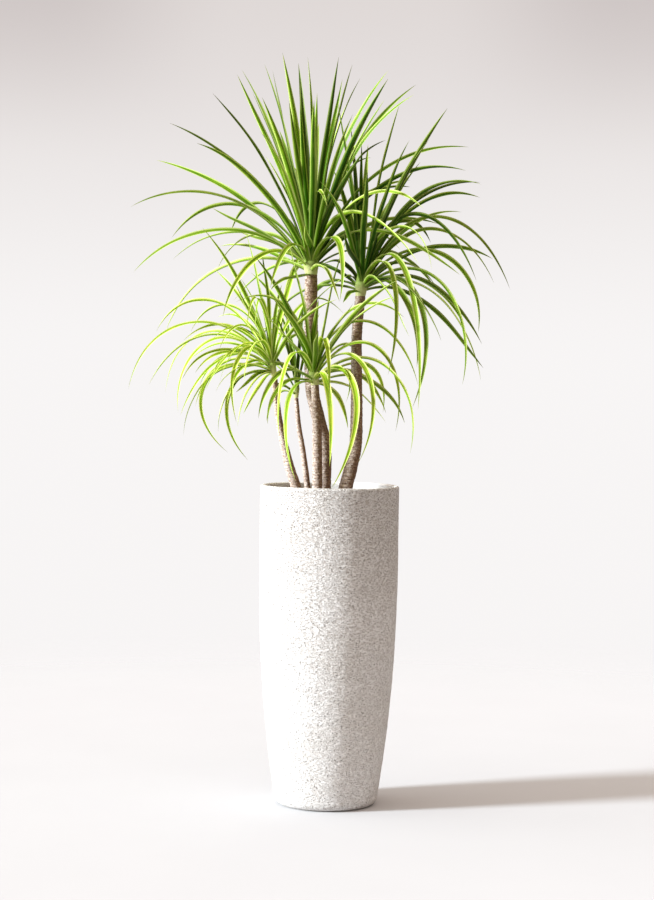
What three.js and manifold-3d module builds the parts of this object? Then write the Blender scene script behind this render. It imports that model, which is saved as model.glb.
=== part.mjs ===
// A potted dracaena: a tall round stone-look planter filled with soil, five bare ringed
// canes standing in it, and on each cane a head of long arching strap leaves.
//
// Millimetres, +Z up. The origin is the centre of the planter's flat base. +X is to the
// right of the plant's front and +Y away from it.

import * as THREE from "three";
import { mergeVertices } from "three/addons/utils/BufferGeometryUtils.js";
import Module from "manifold-3d";

const wasm = await Module();
wasm.setup();

// ---- Driving dimensions: planter and soil ----
const PLANTER_HEIGHT = 770;
const PLANTER_RADIUS = 167;
const TAPER_FROM = 600; // below this height the wall draws in
const TAPER_DEPTH = 36; // how far it has drawn in near the base
const TAPER_SPAN = 540;
const TAPER_POWER = 2.2;
const HEEL_HEIGHT = 24; // rounded bottom edge
const HEEL_RADIUS = 14;
const FOOT_RADIUS = 108; // the narrow foot that the planter stands on
const FOOT_HEIGHT = 3;
const WALL = 12;
const FLOOR = 18;
const LIP_ROUND = 5;
const SOIL_TOP = 735;
const PLANTER_SIDES = 32;
const OUTER_ROWS = 10;
const INNER_ROWS = 5;
const HEEL_ROWS = 4;
const LIP_ROWS = 4;

// ---- Driving dimensions: canes and heads ----
const GAP = 0.3; // between solids that touch
const SAME_POINT = 0.001; // corners closer than this are one
const SHORTEST_EDGE = 0.05; // shorter edges, where blades cross, are closed up
const CANE_SIDES = 10;
const CANE_STEP = 29; // from one leaf-scar ring to the next hollow
const RING_RELIEF = 0.5;
const BURIED_ROWS = 3;
const HOLE_MARGIN = 5; // how far a hole's cutter stands out above the soil

// Each cane, from its foot in the soil to its top: [height, x, y, radius].
const CANES = {
  cane_a: [
    [650, -14, 10, 16.5],
    [763, -14, 10, 16.5],
    [870, -15, 10, 16.5],
    [935, -31, 10, 16],
    [1000, -46, 10, 16],
    [1130, -50, 10, 16.3],
    [1275, -52, 10, 14.6],
  ],
  cane_b: [
    [650, 20, 0, 17],
    [763, 38, 0, 17],
    [809, 49, 0, 16.5],
    [864, 60, 0, 15.5],
    [931, 62, 0, 14.5],
    [1066, 60, 0, 13],
    [1133, 60, 0, 12.5],
    [1225, 67, 0, 12],
  ],
  cane_c: [
    [650, -56, -10, 13],
    [763, -81, -10, 13],
    [809, -96, -10, 12],
    [862, -110, -12, 10],
    [931, -125, -13, 8],
    [1030, -137, -15, 7],
  ],
  cane_d: [
    [650, -30, -30, 12],
    [763, -30, -30, 12],
    [880, -32, -31, 11.5],
    [936, -34, -33, 10.5],
    [1010, -39, -35, 9.5],
  ],
  cane_e: [
    [650, -45, 25, 7.5],
    [763, -54, 25, 7.5],
    [855, -67, 28, 6.5],
    [910, -77, 29, 6],
    [978, -84, 30, 5],
  ],
};

// Each head: the point its leaves spring from, the leaf's width, how late it narrows to its
// tip (above 2, near the end) and its length, how many leaves fill the head between the
// placed ones, and the seed of its small variations.
const HEADS = {
  head_a: { cane: "cane_a", crown: [-53, 10, 1302], width: 17, taper: 3.6, length: 470, fill: 24, seed: 11 },
  head_b: { cane: "cane_b", crown: [70, 0, 1256], width: 16, taper: 3.6, length: 430, fill: 22, seed: 23 },
  head_c: { cane: "cane_c", crown: [-143, -15, 1061], width: 12.5, taper: 2.6, length: 340, fill: 12, seed: 37 },
  head_d: { cane: "cane_d", crown: [-42, -35, 1037], width: 17, taper: 2.8, length: 330, fill: 12, seed: 53 },
  head_e: { cane: "cane_e", crown: [-83, 30, 999], width: 10, taper: 2.8, length: 220, fill: 7, seed: 71 },
};

// The placed leaves of each head, one to a line: where the tip lies from the crown
// [side, depth, rise], the leaf's slope in degrees where it leaves the crown and at its
// tip [launch, end], and how far its middle is pushed sideways and up [bow, lift].
const LEAVES = {
  head_a: [
    [-430, -60, 125, 54, -27, 0, 15],
    [-385, 130, 255, 52, 12, 0, 0],
    [-340, -60, 325, 64, 22, 0, 8],
    [-250, 200, 295, 64, 30, 0, 0],
    [-240, -40, 400, 76, 46, 0, 0],
    [-180, -80, 440, 80, 62, 0, 0],
    [-150, 90, 420, 80, 58, 0, 0],
    [-175, 60, 470, 82, 56, 0, 0],
    [-120, 60, 485, 84, 66, 0, 0],
    [-95, -110, 445, 84, 72, 0, 0],
    [-15, 40, 500, 92, 80, 10, 0],
    [-30, -70, 435, 88, 84, 0, 0],
    [-30, -130, 370, 84, 76, 0, 0],
    [10, -110, 395, 84, 80, 0, 0],
    [5, 160, 370, 80, 60, 0, 0],
    [-55, -150, 370, 82, 66, 0, 0],
    [-85, 180, 340, 76, 50, 0, 0],
    [-120, 230, 280, 66, 34, 0, 0],
    [60, -40, 490, 90, 80, 0, 0],
    [70, 60, 450, 88, 76, 0, 0],
    [115, 100, 460, 86, 52, 0, 0],
    [180, 0, 465, 82, 52, -8, 0],
    [250, 60, 440, 80, 36, 0, 0],
    [240, -60, 400, 76, 28, 0, 0],
    [120, -200, 250, 70, 36, 0, 0],
    [145, 200, 275, 76, 4, 0, 0],
    [180, 160, 315, 70, 18, 0, 0],
    [250, -230, -10, 70, -48, -10, 35],
    [350, -160, -30, 58, -33, 0, 15],
    [69, -270, -100, 20, -42, 0, 0],
    [-90, -220, -73, -8, -30, 0, 0],
    [70, -200, -95, 60, -88, 25, 20],
    [-200, -200, -135, 40, -76, 0, 0],
    [-92, -160, -66, 62, -72, 0, 6],
    [-340, 60, 60, 62, -52, 0, 20],
    [-205, 240, 85, 68, -66, 0, 0],
    [-430, 40, -25, 42, -47, 0, 12],
    [-235, 300, 55, 18, -8, 0, 0],
    [-240, 260, -10, 48, -60, 0, 0],
    [-180, 300, 90, 34, 10, 0, 0],
    [-250, 200, 145, 38, 24, 0, 0],
    [38, -150, 125, 90, -56, -16, 24],
    [-13, -150, 86, 84, 70, 0, 0],
    [380, 60, 290, 66, 6, 0, 30],
    [365, -80, 220, 60, -12, 0, 12],
    [260, -200, 120, 64, -36, 0, 20],
    [245, 220, 205, 64, -4, 0, 0],
  ],
  head_b: [
    [285, 60, 250, 74, -5, 0, 0],
    [275, -120, 230, 72, -20, 0, 0],
    [290, 140, 220, 72, -16, 0, 0],
    [130, -60, 315, 80, 55, 0, 0],
    [140, 80, 300, 76, 46, 0, 0],
    [-5, 30, 340, 92, 86, 0, 0],
    [160, -180, 25, 80, -78, 0, 30],
    [170, 120, 105, 80, -58, 0, 15],
    [270, -80, 5, 70, -50, 0, 110],
    [285, 60, -115, 58, -92, 20, 25],
    [360, 40, -10, 62, -48, 20, 100],
    [330, 160, 10, 52, -52, 0, 60],
    [240, -80, -240, 42, -90, 40, 20],
    [60, -200, -220, 62, -92, 42, 0],
    [130, -220, -300, 60, -88, 26, 16],
    [120, -140, -295, 36, -105, 40, 0],
    [180, -250, -140, 30, -62, 0, 0],
    [130, -120, -200, 34, -90, 12, 0],
    [305, 200, -140, 30, -54, 0, 15],
    [300, 60, -200, 20, -50, 0, 0],
    [300, 150, -230, 30, -80, 0, 0],
    [110, -170, -130, 45, -58, -8, 0],
    [-45, -80, -50, 10, -50, 0, 0],
    [-45, -180, 110, 70, 60, 0, 0],
    [-95, 100, 50, 60, -20, 0, 0],
    [-55, 160, 30, 40, 10, 0, 0],
    [-65, 100, 270, 80, 62, 0, 0],
    [-75, 60, 280, 78, 54, 0, 0],
    [-45, -60, 275, 84, 60, 0, 0],
  ],
  head_c: [
    [-280, 20, 72, 62, -56, 0, 38],
    [-340, -40, -68, 46, -76, 0, 44],
    [-300, 60, -58, 48, -60, 0, 26],
    [-268, 180, -76, 42, -82, 0, 32],
    [-219, -60, -120, 46, -92, -16, 40],
    [-203, -180, -42, 34, -60, 0, 0],
    [-210, -120, -127, 34, -68, 0, 18],
    [-199, -160, -172, 20, -90, 0, 0],
    [-192, 160, -108, 30, -74, 0, 4],
    [-124, -200, -70, 16, -56, 0, 0],
    [-75, -180, -140, 55, -94, -32, 0],
    [-120, -120, -165, 12, -92, -5, 0],
    [-50, -90, -230, 10, -120, -60, 0],
    [-33, -60, -238, 0, -102, -56, 0],
    [-55, -180, 70, 78, -76, 0, 42],
    [-36, -150, 72, 82, -76, -6, 52],
    [-75, -60, 200, 80, 50, 0, 0],
    [-85, -110, 185, 76, 56, 0, 0],
    [40, -80, 190, 88, 50, 0, 0],
    [175, 110, 120, 72, -25, 0, 45],
    [-200, 60, 72, 76, -58, 0, 34],
    [-97, -120, -211, 25, -128, -75, 0],
    [-75, -140, -150, 5, -88, 5, 0],
    [-72, 120, -125, -10, -42, 0, 0],
    [-168, -60, -53, 38, -68, 0, 10],
    [-212, -20, 50, 60, -42, 0, 14],
    [-120, -120, 30, 70, -64, 0, 20],
    [-82, -90, -70, 8, -30, 0, 0],
    [-150, 100, -40, 44, -70, 0, 12],
    [-60, -170, -50, 60, -84, 0, 10],
    [-150, -140, -66, 50, -60, 0, 20],
    [-178, -100, -26, 34, -52, 0, 8],
    [-116, -160, -45, 52, -70, 0, 14],
    [-200, 40, 5, 46, -40, 0, 10],
    [-137, -60, 57, 62, -40, 0, 14],
    [-101, -150, -109, 30, -80, 0, 6],
    [-60, -100, 150, 74, 40, 0, 0],
    [-66, 40, 100, 66, 20, 0, 0],
  ],
  head_d: [
    [-185, -100, 165, 72, -20, 15, 25],
    [-100, -170, 184, 70, 42, 12, 0],
    [-76, -200, -149, 62, -94, -16, 0],
    [-37, -130, -252, 12, -108, -36, 0],
    [-125, -180, -105, 30, -84, 0, 0],
    [-104, -170, -118, 16, -92, 0, 0],
    [-190, 100, 5, 32, -26, 0, 0],
    [250, 20, -24, 78, -72, 0, 52],
    [195, -50, -135, 54, -97, 28, 58],
    [230, -70, -185, 38, -92, 30, 36],
    [225, 160, -120, 16, -60, 10, 12],
    [180, 200, -120, 10, -48, 0, 0],
    [172, 220, -95, 25, -88, 20, 18],
    [44, -180, -265, 34, -122, 72, 0],
    [106, -150, -207, 54, -114, 44, 12],
    [40, -160, -215, 34, -86, 10, 0],
    [35, -160, -75, 72, -88, 10, 56],
    [10, -210, 100, 60, 20, 0, 0],
    [10, -70, 176, 96, 50, -6, 0],
    [210, -110, 135, 72, -34, -8, 24],
    [90, -180, 165, 70, 34, 0, 0],
    [85, 150, -135, 5, -74, 0, 0],
    [-124, -140, 146, 62, 36, 0, 0],
    [76, -150, -66, 30, -108, 20, 10],
  ],
  head_e: [
    [40, 30, -235, -60, -86, -4, 0],
    [-40, 60, 130, 80, 50, 0, 0],
    [15, 60, 235, 92, 74, 0, 0],
    [-50, 80, 215, 82, 60, 0, 0],
    [-5, -60, 60, 70, 50, 0, 0],
    [-60, -50, 10, 30, -30, 0, 0],
  ],
};

// ---- Driving dimensions: blades ----
const ROOT_SPREAD = 40; // height over which the leaves leave the crown
const ROOT_DROP = 0.6; // the share of it that lies below the crown point
const ROOT_SINK = 0.7; // where a root starts, as a share of the cane top's radius
const CORE_RISE = 24; // how far the core reaches above the crown point
const CORE_SIDES = 8;
const CORE_BULGE = 1.3;
const CORE_TIP = 0.85;
const BLADE_THICKNESS = 1.5;
const ROOT_WIDTH = 0.58; // a blade's width at its root, as a share of its widest
const WIDEST_AT = 0.5;
const PLACED_STEPS = 6;
const FILL_STEPS = 5;
const ROOT_ROLL = [4, 30]; // least and most, in degrees either way, at the root
const TIP_ROLL = [42, 84];
const FRONT_ROLL = 0.3; // the share of it left in a leaf that points straight forward or back
const ROLL_POWER = 1.15; // above 1, most of the turning is near the tip
const WIDTH_SPREAD = 0.12;
const CLEARANCE = 0.5; // kept between the blades of different heads
const NUDGE = 14; // how far a leaf's tip is shifted in depth to keep clear
const NUDGES = [0, 1, -1, 2, -2, 3, -3, 4, -4, 5, -5, 6, -6, 8, -8];

// ---- Driving dimensions: the leaves that fill a head ----
const BACK_SHARE = 3; // every third filling leaf is at the front
const GOLDEN = 0.618034;
const FAN = 62; // degrees to each side of straight back or front
const YOUNG = { launch: 86, end: 74 };
const OLD_BACK = { launch: 18, end: -84 };
const OLD_FRONT = { launch: 52, end: 4 };
const LENGTH_SPREAD = 0.12;

// ---- Materials ----
const MATERIALS = {
  stone: new THREE.MeshStandardMaterial({ color: 0xd8d2c8, roughness: 0.92, metalness: 0 }),
  soil: new THREE.MeshStandardMaterial({ color: 0x3d2f24, roughness: 1, metalness: 0 }),
  bark: new THREE.MeshStandardMaterial({ color: 0xa08a72, roughness: 0.85, metalness: 0 }),
  leaf: new THREE.MeshStandardMaterial({ color: 0x6f9c2e, roughness: 0.45, metalness: 0 }),
};

const radians = THREE.MathUtils.degToRad;

// ---- Solids ----

// Turns a closed three.js geometry into a solid, leaving out triangles of no area.
function solidOf(geometry) {
  const bare = geometry.clone();
  bare.deleteAttribute("normal");
  bare.deleteAttribute("uv");
  const merged = mergeVertices(bare, SAME_POINT);
  const index = merged.index.array;
  const triangles = [];
  for (let i = 0; i < index.length; i += 3) {
    const [a, b, c] = [index[i], index[i + 1], index[i + 2]];
    if (a !== b && b !== c && c !== a) triangles.push(a, b, c);
  }
  return new wasm.Manifold(new wasm.Mesh({
    numProp: 3,
    vertProperties: new Float32Array(merged.attributes.position.array),
    triVerts: new Uint32Array(triangles),
  }));
}

function geometryOf(solid) {
  const mesh = solid.getMesh();
  const geometry = new THREE.BufferGeometry();
  geometry.setAttribute("position", new THREE.BufferAttribute(mesh.vertProperties, 3));
  geometry.setIndex(new THREE.BufferAttribute(mesh.triVerts, 1));
  geometry.computeVertexNormals();
  return geometry;
}

// A profile of [radius, height] points turned about the vertical axis.
function turned(profile, sides) {
  const points = profile.map(([radius, height]) => new THREE.Vector2(radius, height));
  return new THREE.LatheGeometry(points, sides).rotateX(Math.PI / 2);
}

// Joins a solid's pieces into one body: the largest stays and loose scraps are dropped.
function largestBody(solid) {
  const pieces = solid.decompose();
  return pieces.reduce((best, piece) => (piece.volume() > best.volume() ? piece : best));
}

// ---- Planter and soil ----

function wallRadius(height) {
  const below = Math.max(0, TAPER_FROM - height) / TAPER_SPAN;
  return PLANTER_RADIUS - TAPER_DEPTH * below ** TAPER_POWER;
}

// Evenly spaced heights, both ends included.
function evenly(from, to, rows) {
  return Array.from({ length: rows + 1 }, (_, i) => from + ((to - from) * i) / rows);
}

function planter() {
  const heelTop = FOOT_HEIGHT + HEEL_HEIGHT;
  const heelCentre = wallRadius(heelTop) - HEEL_RADIUS;
  const lipBase = PLANTER_HEIGHT - LIP_ROUND;
  const profile = [[0, 0], [FOOT_RADIUS, 0], [FOOT_RADIUS, FOOT_HEIGHT]];
  for (let i = 0; i < HEEL_ROWS; i++) {
    const turn = (i / HEEL_ROWS) * (Math.PI / 2);
    const reach = HEEL_RADIUS * Math.sin(turn);
    profile.push([heelCentre + reach, heelTop - HEEL_HEIGHT * Math.cos(turn)]);
  }
  for (const height of evenly(heelTop, lipBase, OUTER_ROWS)) {
    profile.push([wallRadius(height), height]);
  }
  for (let i = 1; i <= LIP_ROWS; i++) {
    const turn = (i / LIP_ROWS) * Math.PI;
    const middle = PLANTER_RADIUS - WALL / 2;
    profile.push([middle + (WALL / 2) * Math.cos(turn), lipBase + LIP_ROUND * Math.sin(turn)]);
  }
  for (const height of evenly(SOIL_TOP, FLOOR, INNER_ROWS)) {
    profile.push([wallRadius(height) - WALL, height]);
  }
  profile.push([0, FLOOR]);
  return turned(profile, PLANTER_SIDES);
}

function soil(canes) {
  const inset = WALL + GAP;
  const heights = evenly(FLOOR, SOIL_TOP, INNER_ROWS);
  const profile = [[0, FLOOR + GAP], [wallRadius(FLOOR) - inset, FLOOR + GAP]];
  for (const height of heights.slice(1)) profile.push([wallRadius(height) - inset, height]);
  profile.push([0, SOIL_TOP]);
  const holes = canes.map((cane) => solidOf(holeGeometry(cane)));
  return solidOf(turned(profile, PLANTER_SIDES)).subtract(wasm.Manifold.union(holes));
}

// ---- Canes ----

// The cane's centre and radius at a height, on a smooth curve through its rows.
function caneAt(rows, height) {
  const last = rows.length - 1;
  let i = 0;
  while (i < last - 1 && height > rows[i + 1][0]) i++;
  const span = rows[i + 1][0] - rows[i][0];
  const t = THREE.MathUtils.clamp((height - rows[i][0]) / span, 0, 1);
  return [1, 2, 3].map((k) => {
    const slopeAt = (j) => {
      const before = rows[Math.max(0, j - 1)];
      const after = rows[Math.min(last, j + 1)];
      return ((after[k] - before[k]) / (after[0] - before[0])) * span;
    };
    const [p, q] = [rows[i][k], rows[i + 1][k]];
    const [m, n] = [slopeAt(i), slopeAt(i + 1)];
    return (2 * t ** 3 - 3 * t ** 2 + 1) * p + (t ** 3 - 2 * t ** 2 + t) * m
      + (3 * t ** 2 - 2 * t ** 3) * q + (t ** 3 - t ** 2) * n;
  });
}

// Moves each level of an upright turned shape to where the cane is at that height.
function lean(geometry, centreAt) {
  const position = geometry.attributes.position;
  for (let i = 0; i < position.count; i++) {
    const [x, y] = centreAt(position.getZ(i));
    position.setXY(i, position.getX(i) + x, position.getY(i) + y);
  }
  return geometry;
}

function buriedHeights(rows) {
  return evenly(rows[0][0], SOIL_TOP, BURIED_ROWS);
}

// A cane: smooth in the soil, and above it ringed by its leaf scars.
function caneGeometry(rows) {
  const foot = rows[0][0];
  const top = rows.at(-1)[0];
  const bare = evenly(SOIL_TOP, top, Math.round((top - SOIL_TOP) / CANE_STEP)).slice(1);
  const profile = [[0, foot]];
  for (const height of buriedHeights(rows)) profile.push([caneAt(rows, height)[2], height]);
  bare.forEach((height, i) => {
    const relief = i % 2 === 0 ? RING_RELIEF : -RING_RELIEF;
    profile.push([caneAt(rows, height)[2] + relief, height]);
  });
  profile.push([0, top]);
  return lean(turned(profile, CANE_SIDES), (height) => caneAt(rows, height));
}

// What a cane's plain hole takes out of the soil: the buried stretch, a little fatter.
function holeGeometry(rows) {
  const foot = rows[0][0] - GAP;
  const mouth = SOIL_TOP + HOLE_MARGIN;
  const profile = [[0, foot], [rows[0][3] + GAP, foot]];
  for (const height of [...buriedHeights(rows), mouth]) {
    profile.push([caneAt(rows, height)[2] + GAP, height]);
  }
  profile.push([0, mouth]);
  return lean(turned(profile, CANE_SIDES), (height) => caneAt(rows, height));
}

// ---- Leaves ----

// A repeatable stream of numbers from 0 to 1: the Lehmer generator.
function randomStream(seed) {
  const multiplier = 16807;
  const modulus = 2 ** 31 - 1;
  let state = seed;
  return () => {
    state = (state * multiplier) % modulus;
    return state / modulus;
  };
}

// A filling leaf's row, from its number: the youngest stand up and the oldest hang.
function fillRow(number, head, random) {
  const front = number % BACK_SHARE === BACK_SHARE - 1;
  const old = front ? OLD_FRONT : OLD_BACK;
  const age = (number + 0.5) / head.fill;
  const across = ((number * GOLDEN) % 1) * 2 - 1;
  const heading = radians((front ? 270 : 90) + FAN * across);
  const launch = THREE.MathUtils.lerp(YOUNG.launch, old.launch, age);
  const end = THREE.MathUtils.lerp(YOUNG.end, old.end, age);
  const length = head.length * (1 + LENGTH_SPREAD * (2 * random() - 1));
  const halfTurn = radians(launch - end) / 2;
  const chord = (length * Math.sin(halfTurn)) / halfTurn;
  const slope = radians(launch + end) / 2;
  const reach = chord * Math.cos(slope);
  const rise = chord * Math.sin(slope);
  return [reach * Math.cos(heading), reach * Math.sin(heading), rise, launch, end, 0, 0];
}

// The leaf's centre line, and the level direction across it.
function leafLine(row, head, coreRadius, nudge) {
  const [side, depthHere, rise, launch, end, bow, lift] = row;
  const depth = depthHere + nudge * NUDGE;
  const reach = Math.hypot(side, depth);
  const out = new THREE.Vector3(side / reach, depth / reach, 0);
  const crown = new THREE.Vector3(...head.crown);
  const share = THREE.MathUtils.clamp(launch / 90, 0, 1) - ROOT_DROP;
  const root = crown.clone().addScaledVector(out, ROOT_SINK * coreRadius);
  root.z += share * ROOT_SPREAD;
  const tip = crown.clone().add(new THREE.Vector3(side, depth, rise));
  const handle = ((2 / 3) * root.distanceTo(tip)) / (1 + Math.cos(radians(launch - end) / 2));
  const push = new THREE.Vector3(bow, 0, lift);
  const slopeVector = (angle) => out.clone().multiplyScalar(Math.cos(angle)).setZ(Math.sin(angle));
  const first = root.clone().addScaledVector(slopeVector(radians(launch)), handle).add(push);
  const second = tip.clone().addScaledVector(slopeVector(radians(end)), -handle).add(push);
  return {
    curve: new THREE.CubicBezierCurve3(root, first, second, tip),
    across: new THREE.Vector3(-out.y, out.x, 0),
  };
}

// Two outward triangles over a side's four corners, split so that the side isn't dished: a
// rolled blade's faces then stay clear of each other.
function sideFaces(points, a, b, nextA, nextB) {
  const along = points[nextA].clone().sub(points[a]);
  const outward = along.cross(points[b].clone().sub(points[a]));
  const dished = outward.dot(points[nextB].clone().sub(points[a])) > 0;
  return dished ? [a, nextA, nextB, a, nextB, b] : [a, nextA, b, b, nextA, nextB];
}

// A blade: three-cornered sections along the line, two edges and a keel, ending in a point.
function bladeSolid(line, shape, steps, margin) {
  const rings = [];
  for (let i = 0; i < steps; i++) {
    const t = i / steps;
    const centre = line.curve.getPoint(t);
    const ahead = line.curve.getTangent(t);
    const up = ahead.clone().cross(line.across).normalize();
    const level = up.clone().cross(ahead);
    const turned = THREE.MathUtils.lerp(shape.firstRoll, shape.lastRoll, t ** ROLL_POWER);
    const roll = radians(turned * THREE.MathUtils.lerp(FRONT_ROLL, 1, Math.abs(line.across.y)));
    const across = level.clone().multiplyScalar(Math.cos(roll)).addScaledVector(up, Math.sin(roll));
    const above = up.clone().multiplyScalar(Math.cos(roll)).addScaledVector(level, -Math.sin(roll));
    const widening = Math.sin((Math.PI / 2) * Math.min(t / WIDEST_AT, 1));
    const breadth = THREE.MathUtils.lerp(ROOT_WIDTH, 1, widening) * (1 - t ** shape.taper);
    const half = (shape.width / 2) * breadth;
    rings.push([
      centre.clone().addScaledVector(across, half + margin).addScaledVector(above, margin),
      centre.clone().addScaledVector(above, -BLADE_THICKNESS - margin),
      centre.clone().addScaledVector(across, -half - margin).addScaledVector(above, margin),
    ]);
  }
  const points = rings.flat();
  points.push(line.curve.getPoint(1).addScaledVector(line.curve.getTangent(1), margin));
  const faces = [0, 1, 2];
  for (let i = 0; i < steps - 1; i++) {
    for (let k = 0; k < 3; k++) {
      const a = 3 * i + k;
      const b = 3 * i + ((k + 1) % 3);
      faces.push(...sideFaces(points, a, b, a + 3, b + 3));
    }
  }
  const lastRing = 3 * (steps - 1);
  const tip = points.length - 1;
  for (let k = 0; k < 3; k++) faces.push(lastRing + k, tip, lastRing + ((k + 1) % 3));
  const geometry = new THREE.BufferGeometry().setFromPoints(points);
  geometry.setIndex(faces);
  return solidOf(geometry);
}

// The short green stem that the leaves of a head spring from.
function coreGeometry(head) {
  const [height, x, y, radius] = CANES[head.cane].at(-1);
  const foot = height + GAP;
  const top = head.crown[2] + CORE_RISE;
  const profile = [
    [0, foot],
    [radius, foot],
    [radius * CORE_BULGE, (foot + top) / 2],
    [radius * CORE_TIP, top],
    [0, top],
  ];
  return lean(turned(profile, CORE_SIDES), (z) => {
    const t = THREE.MathUtils.clamp((z - height) / (head.crown[2] - height), 0, 1);
    return [THREE.MathUtils.lerp(x, head.crown[0], t), THREE.MathUtils.lerp(y, head.crown[1], t)];
  });
}

// The way a leaf is rolled, and how wide it is and how it narrows to its tip.
function bladeShape(head, random) {
  const rootShare = random();
  const way = random() < 0.5 ? -1 : 1;
  const firstRoll = way * THREE.MathUtils.lerp(...ROOT_ROLL, rootShare);
  const lastRoll = way * THREE.MathUtils.lerp(...TIP_ROLL, random());
  const width = head.width * (1 + WIDTH_SPREAD * (2 * random() - 1));
  return { firstRoll, lastRoll, width, taper: head.taper };
}

function boxesMeet(a, b) {
  return [0, 1, 2].every((k) => a.min[k] <= b.max[k] && b.min[k] <= a.max[k]);
}

// Lays one leaf where it keeps clear of everything outside its own head, or leaves it out.
function layLeaf(row, shape, steps, name, head, obstacles) {
  const coreRadius = CANES[head.cane].at(-1)[3];
  for (const nudge of NUDGES) {
    const line = leafLine(row, head, coreRadius, nudge);
    const roomy = bladeSolid(line, shape, steps, CLEARANCE);
    const box = roomy.boundingBox();
    const blocked = obstacles.some((other) => other.head !== name && boxesMeet(box, other.box)
      && !roomy.intersect(other.solid).isEmpty());
    if (blocked) continue;
    const solid = bladeSolid(line, shape, steps, 0);
    obstacles.push({ head: name, solid, box: solid.boundingBox() });
    return;
  }
}

function growHeads(fixed) {
  const obstacles = fixed.map((solid) => ({ head: null, solid, box: solid.boundingBox() }));
  const streams = {};
  for (const [name, head] of Object.entries(HEADS)) {
    streams[name] = randomStream(head.seed);
    const core = solidOf(coreGeometry(head));
    obstacles.push({ head: name, solid: core, box: core.boundingBox() });
  }
  for (const [name, head] of Object.entries(HEADS)) {
    for (const row of LEAVES[name]) {
      layLeaf(row, bladeShape(head, streams[name]), PLACED_STEPS, name, head, obstacles);
    }
  }
  for (const [name, head] of Object.entries(HEADS)) {
    for (let number = 0; number < head.fill; number++) {
      const row = fillRow(number, head, streams[name]);
      layLeaf(row, bladeShape(head, streams[name]), FILL_STEPS, name, head, obstacles);
    }
  }
  return Object.keys(HEADS).map((name) => {
    const own = obstacles.filter((item) => item.head === name).map((item) => item.solid);
    return [name, largestBody(wasm.Manifold.union(own).simplify(SHORTEST_EDGE))];
  });
}

// ---- The plant ----

function addPiece(group, name, geometry, material) {
  const mesh = new THREE.Mesh(geometry, material);
  mesh.name = name;
  group.add(mesh);
}

const plant = new THREE.Group();
const planterGeometry = planter();
const soilSolid = soil(Object.values(CANES));
addPiece(plant, "planter", planterGeometry, MATERIALS.stone);
addPiece(plant, "soil", geometryOf(soilSolid), MATERIALS.soil);

const fixed = [solidOf(planterGeometry), soilSolid];
for (const [name, rows] of Object.entries(CANES)) {
  const geometry = caneGeometry(rows);
  addPiece(plant, name, geometry, MATERIALS.bark);
  fixed.push(solidOf(geometry));
}
for (const [name, solid] of growHeads(fixed)) addPiece(plant, name, geometryOf(solid), MATERIALS.leaf);

export default plant;
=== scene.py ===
"""The looks of a potted dracaena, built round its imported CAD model.

The planter, soil, canes and heads of leaves of the CAD are each replaced by a finer
piece of the same form. Dimensions are in millimetres, as in the CAD, and MM turns them
into Blender's metres when a mesh is made. +X is to the right of the plant's front and
+Y away from it.
"""

import itertools
import math

import bmesh
import bpy
import numpy as np
from mathutils import Euler, Matrix, Vector
from mathutils.kdtree import KDTree


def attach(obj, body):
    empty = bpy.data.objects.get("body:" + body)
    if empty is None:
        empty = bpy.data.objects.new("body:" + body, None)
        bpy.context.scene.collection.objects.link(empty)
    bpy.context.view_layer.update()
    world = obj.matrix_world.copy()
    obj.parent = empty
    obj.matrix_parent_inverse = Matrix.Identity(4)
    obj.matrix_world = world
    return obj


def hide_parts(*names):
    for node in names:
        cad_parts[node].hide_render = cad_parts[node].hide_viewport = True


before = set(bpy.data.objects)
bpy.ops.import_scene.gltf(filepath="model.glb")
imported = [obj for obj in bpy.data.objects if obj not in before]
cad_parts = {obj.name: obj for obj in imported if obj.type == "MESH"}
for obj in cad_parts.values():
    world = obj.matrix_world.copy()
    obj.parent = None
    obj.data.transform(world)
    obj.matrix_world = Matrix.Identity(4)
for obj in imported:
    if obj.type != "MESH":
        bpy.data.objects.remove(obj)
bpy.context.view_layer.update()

MM = 0.001

# ---- Dimensions shared with the CAD: planter and soil ----
PLANTER_HEIGHT = 770
PLANTER_RADIUS = 167
TAPER_FROM = 600  # below this height the wall draws in
TAPER_DEPTH = 36  # how far it has drawn in near the base
TAPER_SPAN = 540
TAPER_POWER = 2.2
HEEL_HEIGHT = 24  # rounded bottom edge
HEEL_RADIUS = 14
FOOT_RADIUS = 108  # the narrow foot that the planter stands on
FOOT_HEIGHT = 3
WALL = 12
FLOOR = 18
LIP_ROUND = 5
SOIL_TOP = 735
GAP = 0.3  # between solids that touch

# ---- Shared with the CAD: canes, [height, x, y, radius] from the foot up ----
CANES = {
    "cane_a": [
        [650, -14, 10, 16.5],
        [763, -14, 10, 16.5],
        [870, -15, 10, 16.5],
        [935, -31, 10, 16],
        [1000, -46, 10, 16],
        [1130, -50, 10, 16.3],
        [1275, -52, 10, 14.6],
    ],
    "cane_b": [
        [650, 20, 0, 17],
        [763, 38, 0, 17],
        [809, 49, 0, 16.5],
        [864, 60, 0, 15.5],
        [931, 62, 0, 14.5],
        [1066, 60, 0, 13],
        [1133, 60, 0, 12.5],
        [1225, 67, 0, 12],
    ],
    "cane_c": [
        [650, -56, -10, 13],
        [763, -81, -10, 13],
        [809, -96, -10, 12],
        [862, -110, -12, 10],
        [931, -125, -13, 8],
        [1030, -137, -15, 7],
    ],
    "cane_d": [
        [650, -30, -30, 12],
        [763, -30, -30, 12],
        [880, -32, -31, 11.5],
        [936, -34, -33, 10.5],
        [1010, -39, -35, 9.5],
    ],
    "cane_e": [
        [650, -45, 25, 7.5],
        [763, -54, 25, 7.5],
        [855, -67, 28, 6.5],
        [910, -77, 29, 6],
        [978, -84, 30, 5],
    ],
}

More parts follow.
